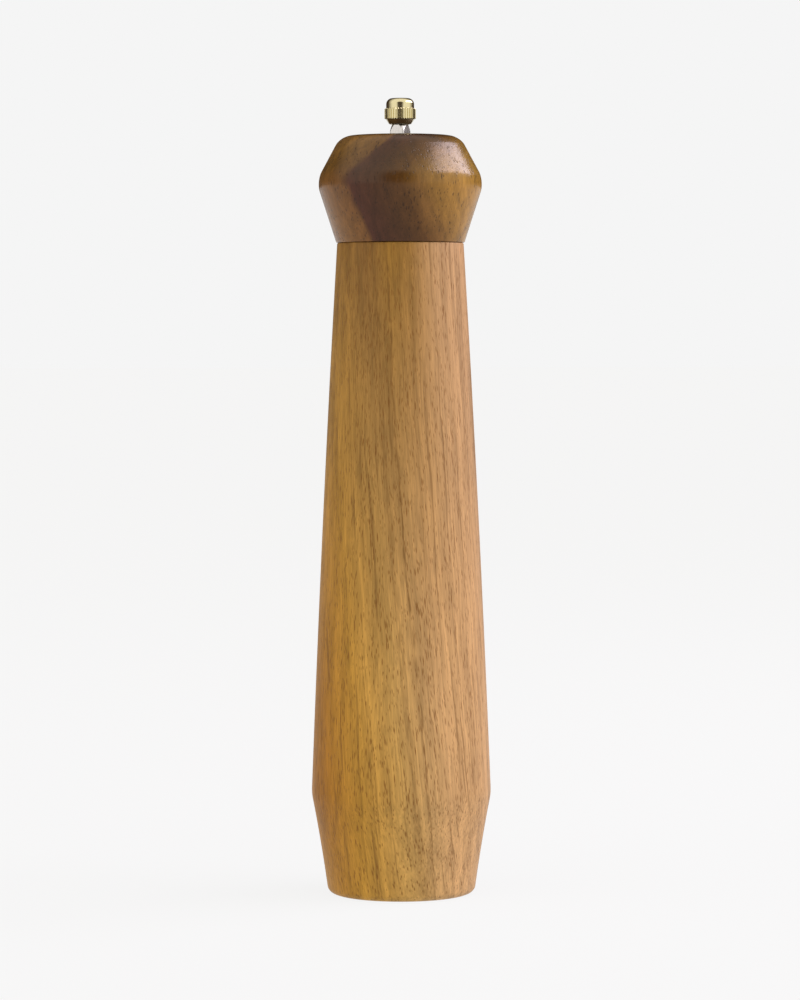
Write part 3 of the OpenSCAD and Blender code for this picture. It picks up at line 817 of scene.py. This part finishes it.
def mould_bridge():
    """The ring that plugs into the housing, with three arms to the hub that guides the bush."""
    top, seat, hub_z, ring_inner = height_of("bearing_bridge", 1), 28, 29.2, 15
    low = height_of("bearing_bridge", 0)
    corners = [(HOUSING_R, top), (ring_inner, top), (ring_inner, low), (HOUSING_INNER_R - 0.1, low)]
    bridge = draw_outline("moulded_bridge", [
        (HOUSING_R, top), (ring_inner, top), (ring_inner, low), (HOUSING_INNER_R - 0.1, low),
        (HOUSING_INNER_R - 0.1, seat), (HOUSING_R, seat)])
    for corner in corners:
        ease(bridge, corner, 0.3, 3)
    turn(bridge, 144)
    hub_r, bore_r, arm_w = 8.6, 5.7, 4.5
    hub = rod(hub_r, hub_z, top, sides=96)
    for angle in (60, 180, 300):
        arm = block((9, arm_w, top - hub_z - 0.3), around(11, angle, (hub_z + top) / 2), angle)
        carve(hub, arm, "UNION")
    carve(hub, rod(bore_r, hub_z - 2, top + 2))
    break_edges(hub, 0.25)
    carve(bridge, hub, "UNION")
    smooth(bridge, 30)
    fit(bridge, "mill_body", "grey_plastic", moulded_grey, "bearing_bridge")


def mould_bush():
    """The flanged nylon bush that turns with the shaft in its square hole."""
    top = height_of("shaft_bush", 1)
    flange_r, flange_h, neck_r = 7, 1, 5.6
    shoulder = (flange_r, BUSH_Z + flange_h)
    rim, lip = (flange_r, BUSH_Z), (neck_r, top)
    bush = draw_outline("moulded_bush", [
        (0, BUSH_Z), rim, shoulder, (neck_r, BUSH_Z + flange_h), lip, (0, top)], closed=False)
    for corner in (rim, shoulder, lip):
        ease(bush, corner, 0.25, 3)
    turn(bush, 96)
    carve(bush, block((SQUARE_HOLE_W, SQUARE_HOLE_W, 20), (0, 0, BUSH_Z + 3), SHAFT_TURN))
    smooth(bush, 30)
    fit(bush, "bearing", "white_nylon", moulded_white, "shaft_bush")


mould_housing()
mould_bridge()
mould_bush()


# ---- Finishes for the CAD nodes that keep their shape ------------------------------------------------------

KEPT = {"rotor_burr": fired_ceramic, "stator_burr": fired_ceramic, "retaining_clip": spring_steel}
for node, material in KEPT.items():
    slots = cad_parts[node].data.materials
    slots.clear()
    slots.append(material)


# ---- Studio ------------------------------------------------------------------------------------------------

def lay_floor():
    """A plain pale floor that glows a little, so it stays even and only softly shadowed."""
    put_down()
    bpy.ops.mesh.primitive_plane_add(size=40, location=(0, 0, 0))
    floor = bpy.context.object
    floor.name = "floor"
    material, tree, shader = finish("studio_floor")
    shader.inputs["Base Color"].default_value = (0.07, 0.07, 0.07, 1)
    shader.inputs["Roughness"].default_value = 1.0
    shader.inputs["Specular IOR Level"].default_value = 0.0
    shader.inputs["Emission Color"].default_value = srgb("#F5F5F5")
    # How brightly it lights the mill, and how bright it is itself
    cast, shown = 0.74, 0.931
    seen = add(tree, "LightPath").outputs["Is Camera Ray"]
    glow = add(tree, "MapRange", {0: seen, 1: 0.0, 2: 1.0, 3: cast, 4: shown})
    tree.links.new(glow.outputs[0], shader.inputs["Emission Strength"])
    floor.data.materials.append(material)


def hang_light(name, place, target, size, power, colour, roll):
    """A softbox at a place in metres, turned towards a target and then rolled by degrees."""
    put_down()
    bpy.ops.object.light_add(type="AREA", location=place)
    light = bpy.context.object
    light.name = name
    light.data.shape = "RECTANGLE"
    light.data.size, light.data.size_y = size
    light.data.energy = power
    light.data.color = srgb(colour)[:3]
    aim = (Vector(target) - Vector(place)).to_track_quat("-Z", "Y")
    light.rotation_euler = (aim @ Quaternion((0, 0, 1), math.radians(roll))).to_euler()


def light_sky():
    """The room's light: pale in front and above, dim behind the mill and just behind the camera. The backdrop
    is seen as pale paper, whatever it lights."""
    world = bpy.data.worlds.new("studio")
    bpy.context.scene.world = world
    world.use_nodes = True
    tree = world.node_tree
    sky = tree.nodes["Background"]
    way = add(tree, "TexCoord").outputs["Generated"]
    towards = add(tree, "VectorMath", {0: way, 1: (0.1, -0.85, 0.4)}, operation="DOT_PRODUCT")
    room = add(tree, "MapRange", {0: towards.outputs["Value"], 1: -0.35, 2: 0.25})
    lit = add(tree, "Mix", {0: room, 6: srgb("#40342A"), 7: srgb("#FFFAF4")}, data_type="RGBA")
    # The dark of the room behind the camera, which the wood and the nut mirror from in front
    ahead = add(tree, "VectorMath", {0: way, 1: (0.0, -0.96, 0.28)}, operation="DOT_PRODUCT")
    behind_camera = add(tree, "MapRange", {0: ahead.outputs["Value"], 1: 0.86, 2: 0.95})
    shaded = add(tree, "Mix", {0: behind_camera, 6: lit.outputs[2], 7: srgb("#4A4038")}, data_type="RGBA")
    bright = add(tree, "VectorMath", {0: shaded.outputs[2], 1: (1.3, 1.3, 1.3)}, operation="MULTIPLY")
    seen = add(tree, "LightPath").outputs["Is Camera Ray"]
    light = add(tree, "Mix", {0: seen, 6: bright, 7: srgb("#F5F5F5")}, data_type="RGBA")
    tree.links.new(light.outputs[2], sky.inputs["Color"])
    sky.inputs["Strength"].default_value = 1.0


def set_camera():
    """A long lens 1.44 m in front of the mill, a little above its middle and tipped slightly down."""
    put_down()
    place, tilt, roll = (-0.0002, -1.442, 0.2169), 2.605, 0.1
    facing = [math.radians(a) for a in (90 - tilt, roll, 0)]
    bpy.ops.object.camera_add(location=place, rotation=facing)
    camera = bpy.context.object
    camera.name = "camera"
    camera.data.lens = 135.3
    camera.data.sensor_width = 36
    camera.data.clip_start = 0.05
    bpy.context.scene.camera = camera


lay_floor()
light_sky()
hang_light("window", (1.05, 0.15, 1.05), (0, 0, 0.28), (1.5, 0.42), 15, "#F4ECFF", roll=-20)
set_camera()
scene = bpy.context.scene
scene.view_settings.view_transform = "Standard"
scene.view_settings.look = "None"
